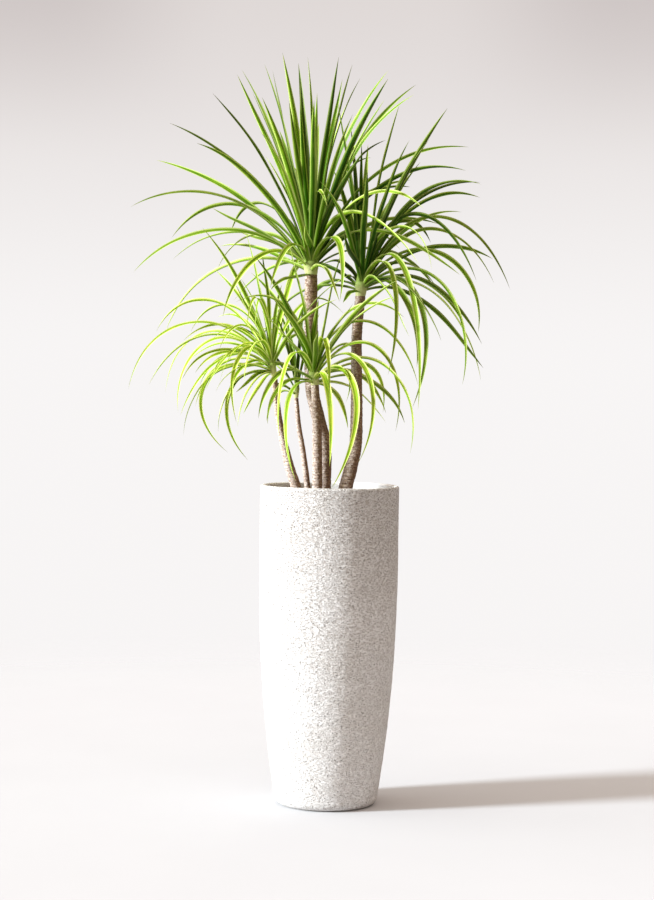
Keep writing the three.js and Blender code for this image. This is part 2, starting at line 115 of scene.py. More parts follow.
# Each head: the cane under it, the point its leaves spring from, the leaf's width, how late
# it narrows to its tip and its length, how many leaves fill the head between the placed
# ones, the seed of its variations, and how fresh its green is (0 old and dark, 1 young
# and yellow).
HEADS = {
    "head_a": dict(cane="cane_a", crown=(-53, 10, 1302), width=17, taper=3.6, length=470,
                   fill=24, seed=11, fresh=0.20),
    "head_b": dict(cane="cane_b", crown=(70, 0, 1256), width=16, taper=3.6, length=430,
                   fill=22, seed=23, fresh=0.12),
    "head_c": dict(cane="cane_c", crown=(-143, -15, 1061), width=12.5, taper=2.6, length=340,
                   fill=12, seed=37, fresh=0.72),
    "head_d": dict(cane="cane_d", crown=(-42, -35, 1037), width=17, taper=2.8, length=330,
                   fill=12, seed=53, fresh=0.47),
    "head_e": dict(cane="cane_e", crown=(-83, 30, 999), width=10, taper=2.8, length=220,
                   fill=7, seed=71, fresh=0.20),
}

# The placed leaves, as in the CAD: tip from the crown [side, depth, rise], slopes in
# degrees at the crown and the tip [launch, end], and the middle's push [bow, lift].
LEAVES = {
    "head_a": [
        [-430, -60, 125, 54, -27, 0, 15],
        [-385, 130, 255, 52, 12, 0, 0],
        [-340, -60, 325, 64, 22, 0, 8],
        [-250, 200, 295, 64, 30, 0, 0],
        [-240, -40, 400, 76, 46, 0, 0],
        [-180, -80, 440, 80, 62, 0, 0],
        [-150, 90, 420, 80, 58, 0, 0],
        [-175, 60, 470, 82, 56, 0, 0],
        [-120, 60, 485, 84, 66, 0, 0],
        [-95, -110, 445, 84, 72, 0, 0],
        [-15, 40, 500, 92, 80, 10, 0],
        [-30, -70, 435, 88, 84, 0, 0],
        [-30, -130, 370, 84, 76, 0, 0],
        [10, -110, 395, 84, 80, 0, 0],
        [5, 160, 370, 80, 60, 0, 0],
        [-55, -150, 370, 82, 66, 0, 0],
        [-85, 180, 340, 76, 50, 0, 0],
        [-120, 230, 280, 66, 34, 0, 0],
        [60, -40, 490, 90, 80, 0, 0],
        [70, 60, 450, 88, 76, 0, 0],
        [115, 100, 460, 86, 52, 0, 0],
        [180, 0, 465, 82, 52, -8, 0],
        [250, 60, 440, 80, 36, 0, 0],
        [240, -60, 400, 76, 28, 0, 0],
        [120, -200, 250, 70, 36, 0, 0],
        [145, 200, 275, 76, 4, 0, 0],
        [180, 160, 315, 70, 18, 0, 0],
        [250, -230, -10, 70, -48, -10, 35],
        [350, -160, -30, 58, -33, 0, 15],
        [69, -270, -100, 20, -42, 0, 0],
        [-90, -220, -73, -8, -30, 0, 0],
        [70, -200, -95, 60, -88, 25, 20],
        [-200, -200, -135, 40, -76, 0, 0],
        [-92, -160, -66, 62, -72, 0, 6],
        [-340, 60, 60, 62, -52, 0, 20],
        [-205, 240, 85, 68, -66, 0, 0],
        [-430, 40, -25, 42, -47, 0, 12],
        [-235, 300, 55, 18, -8, 0, 0],
        [-240, 260, -10, 48, -60, 0, 0],
        [-180, 300, 90, 34, 10, 0, 0],
        [-250, 200, 145, 38, 24, 0, 0],
        [38, -150, 125, 90, -56, -16, 24],
        [-13, -150, 86, 84, 70, 0, 0],
        [380, 60, 290, 66, 6, 0, 30],
        [365, -80, 220, 60, -12, 0, 12],
        [260, -200, 120, 64, -36, 0, 20],
        [245, 220, 205, 64, -4, 0, 0],
    ],
    "head_b": [
        [285, 60, 250, 74, -5, 0, 0],
        [275, -120, 230, 72, -20, 0, 0],
        [290, 140, 220, 72, -16, 0, 0],
        [130, -60, 315, 80, 55, 0, 0],
        [140, 80, 300, 76, 46, 0, 0],
        [-5, 30, 340, 92, 86, 0, 0],
        [160, -180, 25, 80, -78, 0, 30],
        [170, 120, 105, 80, -58, 0, 15],
        [270, -80, 5, 70, -50, 0, 110],
        [285, 60, -115, 58, -92, 20, 25],
        [360, 40, -10, 62, -48, 20, 100],
        [330, 160, 10, 52, -52, 0, 60],
        [240, -80, -240, 42, -90, 40, 20],
        [60, -200, -220, 62, -92, 42, 0],
        [130, -220, -300, 60, -88, 26, 16],
        [120, -140, -295, 36, -105, 40, 0],
        [180, -250, -140, 30, -62, 0, 0],
        [130, -120, -200, 34, -90, 12, 0],
        [305, 200, -140, 30, -54, 0, 15],
        [300, 60, -200, 20, -50, 0, 0],
        [300, 150, -230, 30, -80, 0, 0],
        [110, -170, -130, 45, -58, -8, 0],
        [-45, -80, -50, 10, -50, 0, 0],
        [-45, -180, 110, 70, 60, 0, 0],
        [-95, 100, 50, 60, -20, 0, 0],
        [-55, 160, 30, 40, 10, 0, 0],
        [-65, 100, 270, 80, 62, 0, 0],
        [-75, 60, 280, 78, 54, 0, 0],
        [-45, -60, 275, 84, 60, 0, 0],
    ],
    "head_c": [
        [-280, 20, 72, 62, -56, 0, 38],
        [-340, -40, -68, 46, -76, 0, 44],
        [-300, 60, -58, 48, -60, 0, 26],
        [-268, 180, -76, 42, -82, 0, 32],
        [-219, -60, -120, 46, -92, -16, 40],
        [-203, -180, -42, 34, -60, 0, 0],
        [-210, -120, -127, 34, -68, 0, 18],
        [-199, -160, -172, 20, -90, 0, 0],
        [-192, 160, -108, 30, -74, 0, 4],
        [-124, -200, -70, 16, -56, 0, 0],
        [-75, -180, -140, 55, -94, -32, 0],
        [-120, -120, -165, 12, -92, -5, 0],
        [-50, -90, -230, 10, -120, -60, 0],
        [-33, -60, -238, 0, -102, -56, 0],
        [-55, -180, 70, 78, -76, 0, 42],
        [-36, -150, 72, 82, -76, -6, 52],
        [-75, -60, 200, 80, 50, 0, 0],
        [-85, -110, 185, 76, 56, 0, 0],
        [40, -80, 190, 88, 50, 0, 0],
        [175, 110, 120, 72, -25, 0, 45],
        [-200, 60, 72, 76, -58, 0, 34],
        [-97, -120, -211, 25, -128, -75, 0],
        [-75, -140, -150, 5, -88, 5, 0],
        [-72, 120, -125, -10, -42, 0, 0],
        [-168, -60, -53, 38, -68, 0, 10],
        [-212, -20, 50, 60, -42, 0, 14],
        [-120, -120, 30, 70, -64, 0, 20],
        [-82, -90, -70, 8, -30, 0, 0],
        [-150, 100, -40, 44, -70, 0, 12],
        [-60, -170, -50, 60, -84, 0, 10],
        [-150, -140, -66, 50, -60, 0, 20],
        [-178, -100, -26, 34, -52, 0, 8],
        [-116, -160, -45, 52, -70, 0, 14],
        [-200, 40, 5, 46, -40, 0, 10],
        [-137, -60, 57, 62, -40, 0, 14],
        [-101, -150, -109, 30, -80, 0, 6],
        [-60, -100, 150, 74, 40, 0, 0],
        [-66, 40, 100, 66, 20, 0, 0],
    ],
    "head_d": [
        [-185, -100, 165, 72, -20, 15, 25],
        [-100, -170, 184, 70, 42, 12, 0],
        [-76, -200, -149, 62, -94, -16, 0],
        [-37, -130, -252, 12, -108, -36, 0],
        [-125, -180, -105, 30, -84, 0, 0],
        [-104, -170, -118, 16, -92, 0, 0],
        [-190, 100, 5, 32, -26, 0, 0],
        [250, 20, -24, 78, -72, 0, 52],
        [195, -50, -135, 54, -97, 28, 58],
        [230, -70, -185, 38, -92, 30, 36],
        [225, 160, -120, 16, -60, 10, 12],
        [180, 200, -120, 10, -48, 0, 0],
        [172, 220, -95, 25, -88, 20, 18],
        [44, -180, -265, 34, -122, 72, 0],
        [106, -150, -207, 54, -114, 44, 12],
        [40, -160, -215, 34, -86, 10, 0],
        [35, -160, -75, 72, -88, 10, 56],
        [10, -210, 100, 60, 20, 0, 0],
        [10, -70, 176, 96, 50, -6, 0],
        [210, -110, 135, 72, -34, -8, 24],
        [90, -180, 165, 70, 34, 0, 0],
        [85, 150, -135, 5, -74, 0, 0],
        [-124, -140, 146, 62, 36, 0, 0],
        [76, -150, -66, 30, -108, 20, 10],
    ],
    "head_e": [
        [40, 30, -235, -60, -86, -4, 0],
        [-40, 60, 130, 80, 50, 0, 0],
        [15, 60, 235, 92, 74, 0, 0],
        [-50, 80, 215, 82, 60, 0, 0],
        [-5, -60, 60, 70, 50, 0, 0],
        [-60, -50, 10, 30, -30, 0, 0],
    ],
}

# ---- Shared with the CAD: blades and the leaves that fill a head ----
ROOT_SPREAD = 40  # height over which the leaves leave the crown
ROOT_DROP = 0.6  # the share of it that lies below the crown point
ROOT_SINK = 0.7  # where a root starts, as a share of the cane top's radius
CORE_RISE = 24  # how far the core reaches above the crown point
CORE_BULGE = 1.3
CORE_TIP = 0.85
ROOT_WIDTH = 0.58  # a blade's width at its root, as a share of its widest
WIDEST_AT = 0.5
ROOT_ROLL = (4, 30)  # least and most, in degrees either way, at the root
TIP_ROLL = (42, 84)
FRONT_ROLL = 0.3  # the share of it left in a leaf that points straight forward or back
ROLL_POWER = 1.15  # above 1, most of the turning is near the tip
WIDTH_SPREAD = 0.12
NUDGE = 14  # the CAD shifts a leaf's tip in depth by this, times one of NUDGES
NUDGES = [0, 1, -1, 2, -2, 3, -3, 4, -4, 5, -5, 6, -6, 8, -8]
BACK_SHARE = 3  # every third filling leaf is at the front
GOLDEN = 0.618034
FAN = 62  # degrees to each side of straight back or front
YOUNG = (86, 74)  # slopes at the crown and at the tip
OLD_BACK = (18, -84)
OLD_FRONT = (52, 4)
LENGTH_SPREAD = 0.12

# ---- Seeds of the random draws and of the noise ----
PLANTER_SEED = 1
SOIL_SEED = 4
CRUMB_SEED = 8
CANE_SEEDS = 310, 10  # the first cane's, and from one to the next

# ---- Fineness and relief of the planter and the soil. A layer of relief is (height, size) ----
PLANTER_SIDES = 240
WALL_STEP = 2.4
FOOT_STEP = 26
HEEL_ROWS = 13
LIP_ROWS = 11
INSIDE_ROWS = 13
HIDDEN_ROWS = 6
FINE_BELOW_SOIL = 6  # how far under the soil's top the inside wall stays fine
FLOOR_RING = 70
HUB = 4  # radius of the small fan that closes a turned piece at its axis
PLANTER_RELIEF = (0.42, (17, 17, 5.2)), (0.30, (11, 11, 9)), (0.40, 60)
SMOOTH_FOOT = 5  # the relief grows over this height
INSIDE_ROUGHNESS = 0.15

SOIL_SIDES = 180
SOIL_STEP = 2.6
SOIL_ROWS = 8
SOIL_HUB = 3
SOIL_EDGE = 4  # how far under its top in the CAD its wall ends
SOIL_LOW = 2  # how far under that top it lies without its lumps
SOIL_RELIEF = (1.7, 9), (1.02, 4.3), (1.5, 45)
CRUMBS = 240
CRUMB_SIZES = (1.6, 5.0)
CRUMB_MARGIN = 8  # kept free along the wall
CRUMB_RISE = 0.4  # how high a crumb's middle lies, as a share of its size
CRUMB_CORNERS = (0.75, 1.15)
CRUMB_STRETCH = (0.6, 1.4)
CRUMB_FLATNESS = (1, 1, 0.7)

# ---- Fineness and relief of the canes, and the light painted on their lit side ----
CANE_SIDES = 36
CANE_STEP = 0.9
BURIED_ROWS = 7
SHOWN_BELOW_SOIL = 8  # from this far under the soil's top a cane is fine and rough
NOISE_RADIUS = 12  # the noise is read on a cylinder of this radius
SCAR_SPACING = (3.6, 10.5)
SCAR_WAVES = (2.4, (13, 13, 26)), (0.9, (5, 5, 7))
SCARS_END = 12  # above the cane's top, so that its last scar has a next one
GROOVE_ABOVE = 0.20  # how wide a scar is, in shares of the way to the next
GROOVE_BELOW = 0.12
SCAR_STRENGTH = 0.62
SCAR_PATCHINESS = 0.9  # a scar comes and goes round the cane
SCAR_PATCH = (8, 8, 7)
FAINTEST_SCAR = 0.08
SHELF = 0.35  # how far the bark stands out just above a scar
SCAR_DEPTH = 0.42
BARK_RELIEF = (0.55, (5.5, 5.5, 4)), (0.3, 2.6)
FULL_RELIEF_FROM = 12  # a cane of a smaller radius has less relief
SHADED_SIDE = (0.95, 0.31, 0.0)  # the direction of the side in shade, where the bark keeps its brown and is not painted pale
LIT_SIDE_BY_HEIGHT = (780, 900, 1150), (1.22, 1.05, 0.68)  # heights, and how strongly the lit side is painted pale there: less higher up, in the leaves' shade

# ---- Fineness and form of the leaves. Rates are in radians from root to tip ----
LEAF_STEPS = 64
LEAF_ACROSS = (-1.0, -0.7, -0.35, 0.0, 0.35, 0.7, 1.0)
LEAF_THICKNESS = 0.9
THIN_BELOW = 3  # a blade is thinner where its half width is less
ROOT_FOLD = (0.55, 0.80)  # least and most depth of the channel, in half widths
TIP_FOLD = (0.28, 0.52)
OPENING_RATE = 1.3  # a channel is as open as it gets at 1 / 1.3 of the length
OPENING_POWER = 0.8
CHANNEL_POWER = 1.25  # 1 is a sharp fold, 2 a round channel
SWAY = (0.8, 2.0)
SWAY_RATES = (9, 6)  # out of the blade's face, and sideways
RIPPLE = 0.35
RIPPLE_RATE = 26
VEIN_PLACES = 900  # each leaf takes its veins from its own place in the noise, up to here
FRESH_SPREAD = 0.13
HANGING_IS_PALER = 0.36  # how much fresher a leaf's green is when its tip points down
SHARP_ANGLE = 70
NECK_SIDES = 24
NECK_LEVELS = 30
NECK_WIDTH = 0.97
NECK_WRAPS = 0.05  # how far the old leaf bases stand out, as a share of the radius
WRAP_RATES = (16, 1.5)  # how they wind: upwards, and round the neck
NECK_MARK = (0.3, 0.6)  # place across the blade and tone that colour a neck
TIP_MATCH = 0.3  # how near a packed corner must be to a blade's tip


# ---- Noise and meshes ----
def smooth_noise(points, seed):
    """Smooth noise from -1 to 1 at each point, on a lattice of one unit."""
    cell = np.floor(points).astype(np.int64)
    part = points - cell
    part = part * part * (3 - 2 * part)
    total = np.zeros(len(points))
    for corner in itertools.product((0, 1), repeat=3):
        weight = np.prod(np.where(corner, part, 1 - part), axis=1)
        x, y, z = (cell + corner).T
        key = (x * 374761393 + y * 668265263 + z * 974634777 + seed * 69069) & 0x7FFFFFFF
        key = ((key ^ (key >> 13)) * 1274126177) & 0x7FFFFFFF
        key = key ^ (key >> 16)
        total += weight * (key / 0x7FFFFFFF * 2 - 1)
    return total


def layered_noise(points, layers, seed):
    """The sum of layers of noise, each a (height, size), with seeds counted up from seed."""
    return sum(height * smooth_noise(points / size, seed + i)
               for i, (height, size) in enumerate(layers))


FIELDS = {"FLOAT": "value", "FLOAT_VECTOR": "vector", "FLOAT_COLOR": "color"}


def mesh_object(name, points, faces, material, attributes=None):
    """A smooth mesh from points in millimetres, with its point attributes."""
    mesh = bpy.data.meshes.new(name)
    mesh.from_pydata((np.asarray(points) * MM).tolist(), [], faces)
    for key, (kind, values) in (attributes or {}).items():
        attribute = mesh.attributes.new(key, kind, "POINT")
        attribute.data.foreach_set(FIELDS[kind], np.asarray(values, np.float32).ravel())
    mesh.polygons.foreach_set("use_smooth", np.ones(len(mesh.polygons), bool))
    mesh.materials.append(material)
    mesh.update()
    made = bpy.data.objects.new(name, mesh)
    bpy.context.scene.collection.objects.link(made)
    return made


def stand_for(piece, node):
    """The piece rides with the plant and is shown in place of the CAD node."""
    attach(piece, "root")
    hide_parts(node)


def rays(sides):
    """Level unit vectors round the axis."""
    angle = np.arange(sides) * 2 * math.pi / sides
    return np.stack([np.cos(angle), np.sin(angle), np.zeros(sides)], axis=1)


def ring_faces(rows, sides):
    """Quads between consecutive rings of points."""
    faces = []
    for row in range(rows - 1):
        low = row * sides
        high = low + sides
        for k in range(sides):
            j = (k + 1) % sides
            faces.append((low + k, low + j, high + j, high + k))
    return faces


def resample(profile, step):
    """Points about a step apart along a polyline, its corners kept."""
    points = [profile[0]]
    for a, b in zip(profile, profile[1:]):
        count = max(1, round(math.dist(a, b) / step))
        points += [(a[0] + (b[0] - a[0]) * i / count, a[1] + (b[1] - a[1]) * i / count)
                   for i in range(1, count + 1)]
    return points


def lathe_points(profile, sides):
    """Rings of points round the axis, and each point's outward direction."""
    profile = np.array(profile, float)
    along = np.gradient(profile, axis=0)
    normal = np.stack([along[:, 1], -along[:, 0]], axis=1)
    normal /= np.linalg.norm(normal, axis=1)[:, None]
    ray = rays(sides)[:, :2]

    def spun(pairs):
        flat = pairs[:, None, :1] * ray[None, :, :]
        high = np.repeat(pairs[:, None, 1:], sides, axis=1)
        return np.concatenate([flat, high], axis=2).reshape(-1, 3)

    return spun(profile), spun(normal)


def capped(points, rows, sides):
    """Faces of a stack of rings, closed by a fan at each end."""
    faces = ring_faces(rows, sides)
    bottom, top = len(points), len(points) + 1
    last = (rows - 1) * sides
    faces += [(bottom, (k + 1) % sides, k) for k in range(sides)]
    faces += [(last + k, last + (k + 1) % sides, top) for k in range(sides)]
    ends = [points[:sides].mean(axis=0), points[last:last + sides].mean(axis=0)]
    return np.vstack([points, ends]), faces


# ---- Materials ----
class Shader:
    """A small helper that builds the nodes of one material or of the world."""

    def __init__(self, owner):
        self.owner = owner
        owner.use_nodes = True
        self.tree = owner.node_tree
        self.tree.nodes.clear()

    def node(self, kind, inputs=None, output=0, **settings):
        """A node with its inputs linked or set; its output, or the node if output is None."""
        made = self.tree.nodes.new(kind)
        for key, value in settings.items():
            setattr(made, key, value)
        for key, value in (inputs or {}).items():
            if isinstance(value, bpy.types.NodeSocket):
                self.tree.links.new(value, made.inputs[key])
            else:
                made.inputs[key].default_value = value
        return made.outputs[output] if output is not None else made

    def math(self, operation, a, b=0.0):
        return self.node("ShaderNodeMath", {0: a, 1: b}, operation=operation)

    def times(self, a, b):
        return self.math("MULTIPLY", a, b)

    def ramp(self, value, low, high, to_low=0.0, to_high=1.0):
        return self.node("ShaderNodeMapRange", {0: value, 1: low, 2: high, 3: to_low, 4: to_high},
                         interpolation_type="SMOOTHSTEP")

    def mix(self, factor, a, b, blend="MIX"):
        """Two colours mixed or blended: sockets 6, 7 and output 2 are those for colours."""
        return self.node("ShaderNodeMix", {0: factor, 6: a, 7: b}, output=2, data_type="RGBA",
                         blend_type=blend)

    def noise(self, place, cells, detail, roughness):
        """Noise with so many cells to a unit of length: one number, or one for each axis."""
        if isinstance(cells, tuple):
            place = self.node("ShaderNodeVectorMath", {0: place, 1: cells}, operation="MULTIPLY")
            cells = 1.0
        return self.node("ShaderNodeTexNoise", {"Vector": place, "Scale": cells, "Detail": detail,
                                                "Roughness": roughness})

    def attribute(self, name, output):
        return self.node("ShaderNodeAttribute", output=output, attribute_name=name)

    def finish(self, surface):
        self.node("ShaderNodeOutputMaterial", {"Surface": surface}, output=None)
        return self.owner


def rgb(red, green, blue):
    return (red, green, blue, 1.0)


# Outputs of the nodes that are picked by number.
WORLD_DIRECTION = 0
OBJECT_PLACE = 3
ATTRIBUTE_VECTOR = 1
ATTRIBUTE_NUMBER = 2

# Cement. Noise is in cells to a metre: sideways, in depth and upwards.
CEMENT_WARM = rgb(0.87, 0.835, 0.795)
CEMENT_PALE = rgb(0.92, 0.89, 0.86)
# Painted shade: the brown painted towards the rim.
RIM_SHADE_BROWN = rgb(0.42, 0.37, 0.34)
# Painted shade: the browns of the crevices between the ridges and of the pits.
CREVICE_SHADE_BROWN = rgb(0.42, 0.36, 0.31)
PIT_SHADE_BROWN = rgb(0.22, 0.175, 0.145)
RIDGE_CELLS = (145, 145, 330)
PIT_CELLS = (320, 320, 370)
CEMENT_GRAIN_CELLS = 900
CEMENT_PATCH_CELLS = 7
CEMENT_BUMP = 0.0016  # metres

# Soil.
SOIL_DARK = rgb(0.022, 0.014, 0.009)
SOIL_BROWN = rgb(0.095, 0.06, 0.036)
FIBRE_PALE = rgb(0.22, 0.15, 0.09)
LUMP_CELLS = 160
FIBRE_CELLS = (420, 1400, 700)
SOIL_BUMP = 0.002

# Bark.
BARK_DARK = rgb(0.16, 0.085, 0.042)
BARK_BROWN = rgb(0.34, 0.21, 0.125)
# Painted light: paler copies of the bark's browns, for the side towards the key light.
LIT_SIDE_BROWN = rgb(0.44, 0.315, 0.23)
LIT_SIDE_PALE = rgb(0.76, 0.64, 0.56)
SPECK_BROWN = rgb(0.13, 0.065, 0.036)
SCAR_BROWN = rgb(0.10, 0.055, 0.030)
FLECK_CELLS = (170, 170, 230)
BLOTCH_CELLS = (110, 110, 150)
SPECK_CELLS = (260, 260, 420)
BARK_GRAIN_CELLS = (500, 500, 1300)
BARK_BUMP = 0.0011

# Leaves. A pair of colours is for an old leaf and for a fresh one.
BLADE_GREENS = rgb(0.013, 0.089, 0.0), rgb(0.235, 0.465, 0.0)
LIGHT_GREENS = rgb(0.175, 0.38, 0.0), rgb(0.68, 0.73, 0.08)
MARGIN_GREENS = rgb(0.53, 0.68, 0.11), rgb(0.91, 0.91, 0.38)
ROOT_GREEN = rgb(0.44, 0.55, 0.12)
SHEATH_CREAM = rgb(0.68, 0.68, 0.30)
TIP_BROWN = rgb(0.45, 0.42, 0.12)
GLOW_TINT = rgb(0.98, 1.0, 0.8)
VEIN_CELLS = (1.5, 0.012, 1.0)  # to a millimetre: across the blade, along it, from leaf to leaf
BLADE_PATCH_CELLS = (0.12, 0.022, 1.0)
VEIN_BUMP = 0.0006

# Floor.
FLOOR_TONES = rgb(0.487, 0.485, 0.490), rgb(0.507, 0.505, 0.510)
FLOOR_CELLS = 3.0
FLOOR_FADES = (1.5, 3.4)  # metres from the plant


def cement_material():
    """Off-white fibre cement: level ridges a few millimetres apart, and dark pits.

    It is painted a little darker towards the rim, as shade under the leaves. The crevices between its
    ridges and its pits are painted darker, as painted shade, the crevices fainter towards the foot.
    """
    s = Shader(bpy.data.materials.new("cement"))
    place = s.node("ShaderNodeTexCoord", output=OBJECT_PLACE)
    level = s.node("ShaderNodeSeparateXYZ", {0: place}, output=2)
    rough_cast = s.attribute("rough_cast", ATTRIBUTE_NUMBER)
    ridge = s.noise(place, RIDGE_CELLS, 3.0, 0.62)
    grain = s.noise(place, CEMENT_GRAIN_CELLS, 2.0, 0.6)
    patch = s.noise(place, CEMENT_PATCH_CELLS, 2.0, 0.5)
    pit_and_shade = s.times(s.ramp(s.noise(place, PIT_CELLS, 1.0, 0.5), 0.385, 0.31), rough_cast)
    crevice_shade = s.times(s.ramp(ridge, 0.55, 0.38), rough_cast)

    base = s.mix(s.ramp(patch, 0.35, 0.65), CEMENT_WARM, CEMENT_PALE)
    # Painted shade: a little darker towards the rim, where the leaves above shade the wall.
    base = s.mix(s.ramp(level, 0.40, 0.88, 0.0, 0.2), base, RIM_SHADE_BROWN)
    # Painted shade: the crevices between the ridges, fainter towards the foot, and the pits are painted
    # darker.
    base = s.mix(s.times(crevice_shade, s.ramp(level, 0.10, 0.80, 0.42, 0.76)), base, CREVICE_SHADE_BROWN)
    base = s.mix(s.times(pit_and_shade, 0.8), base, PIT_SHADE_BROWN)

    raised = s.times(s.ramp(ridge, 0.38, 0.60), rough_cast)
    height = s.math("ADD", raised, s.times(grain, 0.35))
    height = s.math("SUBTRACT", height, s.times(pit_and_shade, 1.1))
    bump = s.node("ShaderNodeBump", {"Strength": 1.0, "Distance": CEMENT_BUMP, "Height": height})
    rough = s.ramp(grain, 0.3, 0.7, 0.86, 0.98)
    return s.finish(s.node("ShaderNodeBsdfPrincipled", {
        "Base Color": base, "Roughness": rough, "Normal": bump, "Specular IOR Level": 0.25}))


def soil_material():
    """Dark crumbly potting soil with paler fibres."""
    s = Shader(bpy.data.materials.new("potting_soil"))
    place = s.node("ShaderNodeTexCoord", output=OBJECT_PLACE)
    lump = s.noise(place, LUMP_CELLS, 4.0, 0.65)
    fibre = s.noise(place, FIBRE_CELLS, 2.0, 0.6)
    base = s.mix(s.ramp(lump, 0.35, 0.68), SOIL_DARK, SOIL_BROWN)
    base = s.mix(s.ramp(fibre, 0.62, 0.75), base, FIBRE_PALE)
    bump = s.node("ShaderNodeBump", {"Strength": 0.9, "Distance": SOIL_BUMP, "Height": lump})
    return s.finish(s.node("ShaderNodeBsdfPrincipled", {
        "Base Color": base, "Roughness": 0.95, "Normal": bump, "Specular IOR Level": 0.2}))


def bark_material():
    """Cane bark: painted pale on the side towards the key light, as painted light, and brown elsewhere;
    specked, with faint ring scars.
    """
    s = Shader(bpy.data.materials.new("cane_bark"))
    place = s.node("ShaderNodeTexCoord", output=OBJECT_PLACE)
    scar = s.attribute("scar", ATTRIBUTE_NUMBER)
    painted_lit_side = s.attribute("painted_lit_side", ATTRIBUTE_NUMBER)
    fleck = s.noise(place, FLECK_CELLS, 3.0, 0.65)
    blotch = s.noise(place, BLOTCH_CELLS, 3.0, 0.6)
    speck = s.noise(place, SPECK_CELLS, 2.0, 0.6)
    grain = s.noise(place, BARK_GRAIN_CELLS, 2.0, 0.6)

    # Painted light: the side towards the key light is painted pale, broken up by random blotches and
    # specks.
    lit_side_and_blotches = painted_lit_side
    for uneven in (blotch, speck):
        lit_side_and_blotches = s.math("ADD", lit_side_and_blotches, s.times(s.math("SUBTRACT", uneven, 0.5), 0.8))
    brown = s.mix(s.ramp(fleck, 0.36, 0.66), BARK_DARK, BARK_BROWN)
    pale = s.mix(s.ramp(fleck, 0.32, 0.66), LIT_SIDE_BROWN, LIT_SIDE_PALE)
    base = s.mix(s.ramp(lit_side_and_blotches, 0.46, 0.90), brown, pale)
    base = s.mix(s.times(s.ramp(speck, 0.46, 0.36), 0.78), base, SPECK_BROWN)
    base = s.mix(s.times(scar, 0.45), base, SCAR_BROWN)

    height = s.math("ADD", s.times(fleck, 0.7), s.times(grain, 0.3))
    bump = s.node("ShaderNodeBump", {"Strength": 0.8, "Distance": BARK_BUMP, "Height": height})
    rough = s.ramp(fleck, 0.3, 0.7, 0.85, 0.55)
    return s.finish(s.node("ShaderNodeBsdfPrincipled", {
        "Base Color": base, "Roughness": rough, "Normal": bump, "Specular IOR Level": 0.4}))


def leaf_material():
    """Strap leaf: green with fine veins, a pale midrib, yellow-green margins and a cream sheath.

    The "leaf" colour of each point says how far along and across the blade it is, the tone
    of its leaf and, in alpha, how fresh that leaf is. "grain" is its place on the blade.
    """
    s = Shader(bpy.data.materials.new("leaf_blade"))
    mark = s.attribute("leaf", None)
    parts = s.node("ShaderNodeSeparateColor", {0: mark.outputs["Color"]}, output=None)
    along, across, tone = parts.outputs[0], parts.outputs[1], parts.outputs[2]
    fresh = mark.outputs["Alpha"]
    grain = s.attribute("grain", ATTRIBUTE_VECTOR)
    aside = s.times(s.math("ABSOLUTE", s.math("SUBTRACT", across, 0.5)), 2.0)
    vein = s.noise(grain, VEIN_CELLS, 2.0, 0.6)
    patch = s.noise(grain, BLADE_PATCH_CELLS, 2.0, 0.5)

    green = s.mix(fresh, *BLADE_GREENS)
    light = s.mix(fresh, *LIGHT_GREENS)
    margin = s.mix(fresh, *MARGIN_GREENS)
    base = s.mix(s.ramp(vein, 0.44, 0.76), green, light)
    base = s.mix(s.times(s.ramp(patch, 0.45, 0.75), 0.5), base, light)
    base = s.mix(s.times(s.ramp(aside, 0.46, 0.78), 0.9), base, margin)
    base = s.mix(s.times(s.ramp(aside, 0.14, 0.02), 0.45), base, light)
    # Painted shade: older leaves are painted a darker green towards the root, as the shade inside the
    # head.
    painted_root_shade = s.times(s.ramp(along, 0.75, 0.15), s.ramp(fresh, 1.0, 0.0, 0.0, 0.65))
    base = s.mix(painted_root_shade, base, green)
    base = s.mix(s.times(s.ramp(along, 0.08, 0.0), 0.6), base, ROOT_GREEN)
    base = s.mix(s.ramp(along, 0.02, -0.34), base, SHEATH_CREAM)
    base = s.mix(s.times(s.ramp(along, 0.93, 1.0), 0.6), base, TIP_BROWN)
    shade = s.ramp(tone, 0.0, 1.0, s.ramp(fresh, 0.0, 1.0, 0.36, 1.05), 1.2)
    shade = s.node("ShaderNodeCombineColor", {0: shade, 1: shade, 2: shade})
    base = s.mix(1.0, base, shade, "MULTIPLY")

    height = s.math("ADD", vein, s.times(s.ramp(aside, 0.12, 0.0), 0.6))
    bump = s.node("ShaderNodeBump", {"Strength": 0.35, "Distance": VEIN_BUMP, "Height": height})
    rough = s.ramp(vein, 0.3, 0.7, 0.40, 0.52)
    gloss = s.node("ShaderNodeBsdfPrincipled", {
        "Base Color": base, "Roughness": rough, "Normal": bump, "Specular IOR Level": 0.10})
    glow = s.mix(1.0, base, GLOW_TINT, "MULTIPLY")
    through = s.node("ShaderNodeBsdfTranslucent", {"Color": glow, "Normal": bump})
    sheer = s.ramp(fresh, 0.0, 1.0, 0.14, 0.36)
    return s.finish(s.node("ShaderNodeMixShader", {0: sheer, 1: gloss, 2: through}))


def floor_material():
    """Plain pale floor that fades out far from the plant."""
    s = Shader(bpy.data.materials.new("pale_floor"))
    place = s.node("ShaderNodeTexCoord", output=OBJECT_PLACE)
    base = s.mix(s.noise(place, FLOOR_CELLS, 2.0, 0.5), *FLOOR_TONES)
    matt = s.node("ShaderNodeBsdfDiffuse", {"Color": base})
    reach = s.node("ShaderNodeVectorMath", {0: place}, output=1, operation="LENGTH")
    clear = s.node("ShaderNodeBsdfTransparent")
    faded = s.ramp(reach, *FLOOR_FADES)
    return s.finish(s.node("ShaderNodeMixShader", {0: faded, 1: matt, 2: clear}))


# ---- Planter and soil ----
def wall_radius(height):
    below = max(0.0, TAPER_FROM - height) / TAPER_SPAN
    return PLANTER_RADIUS - TAPER_DEPTH * below**TAPER_POWER


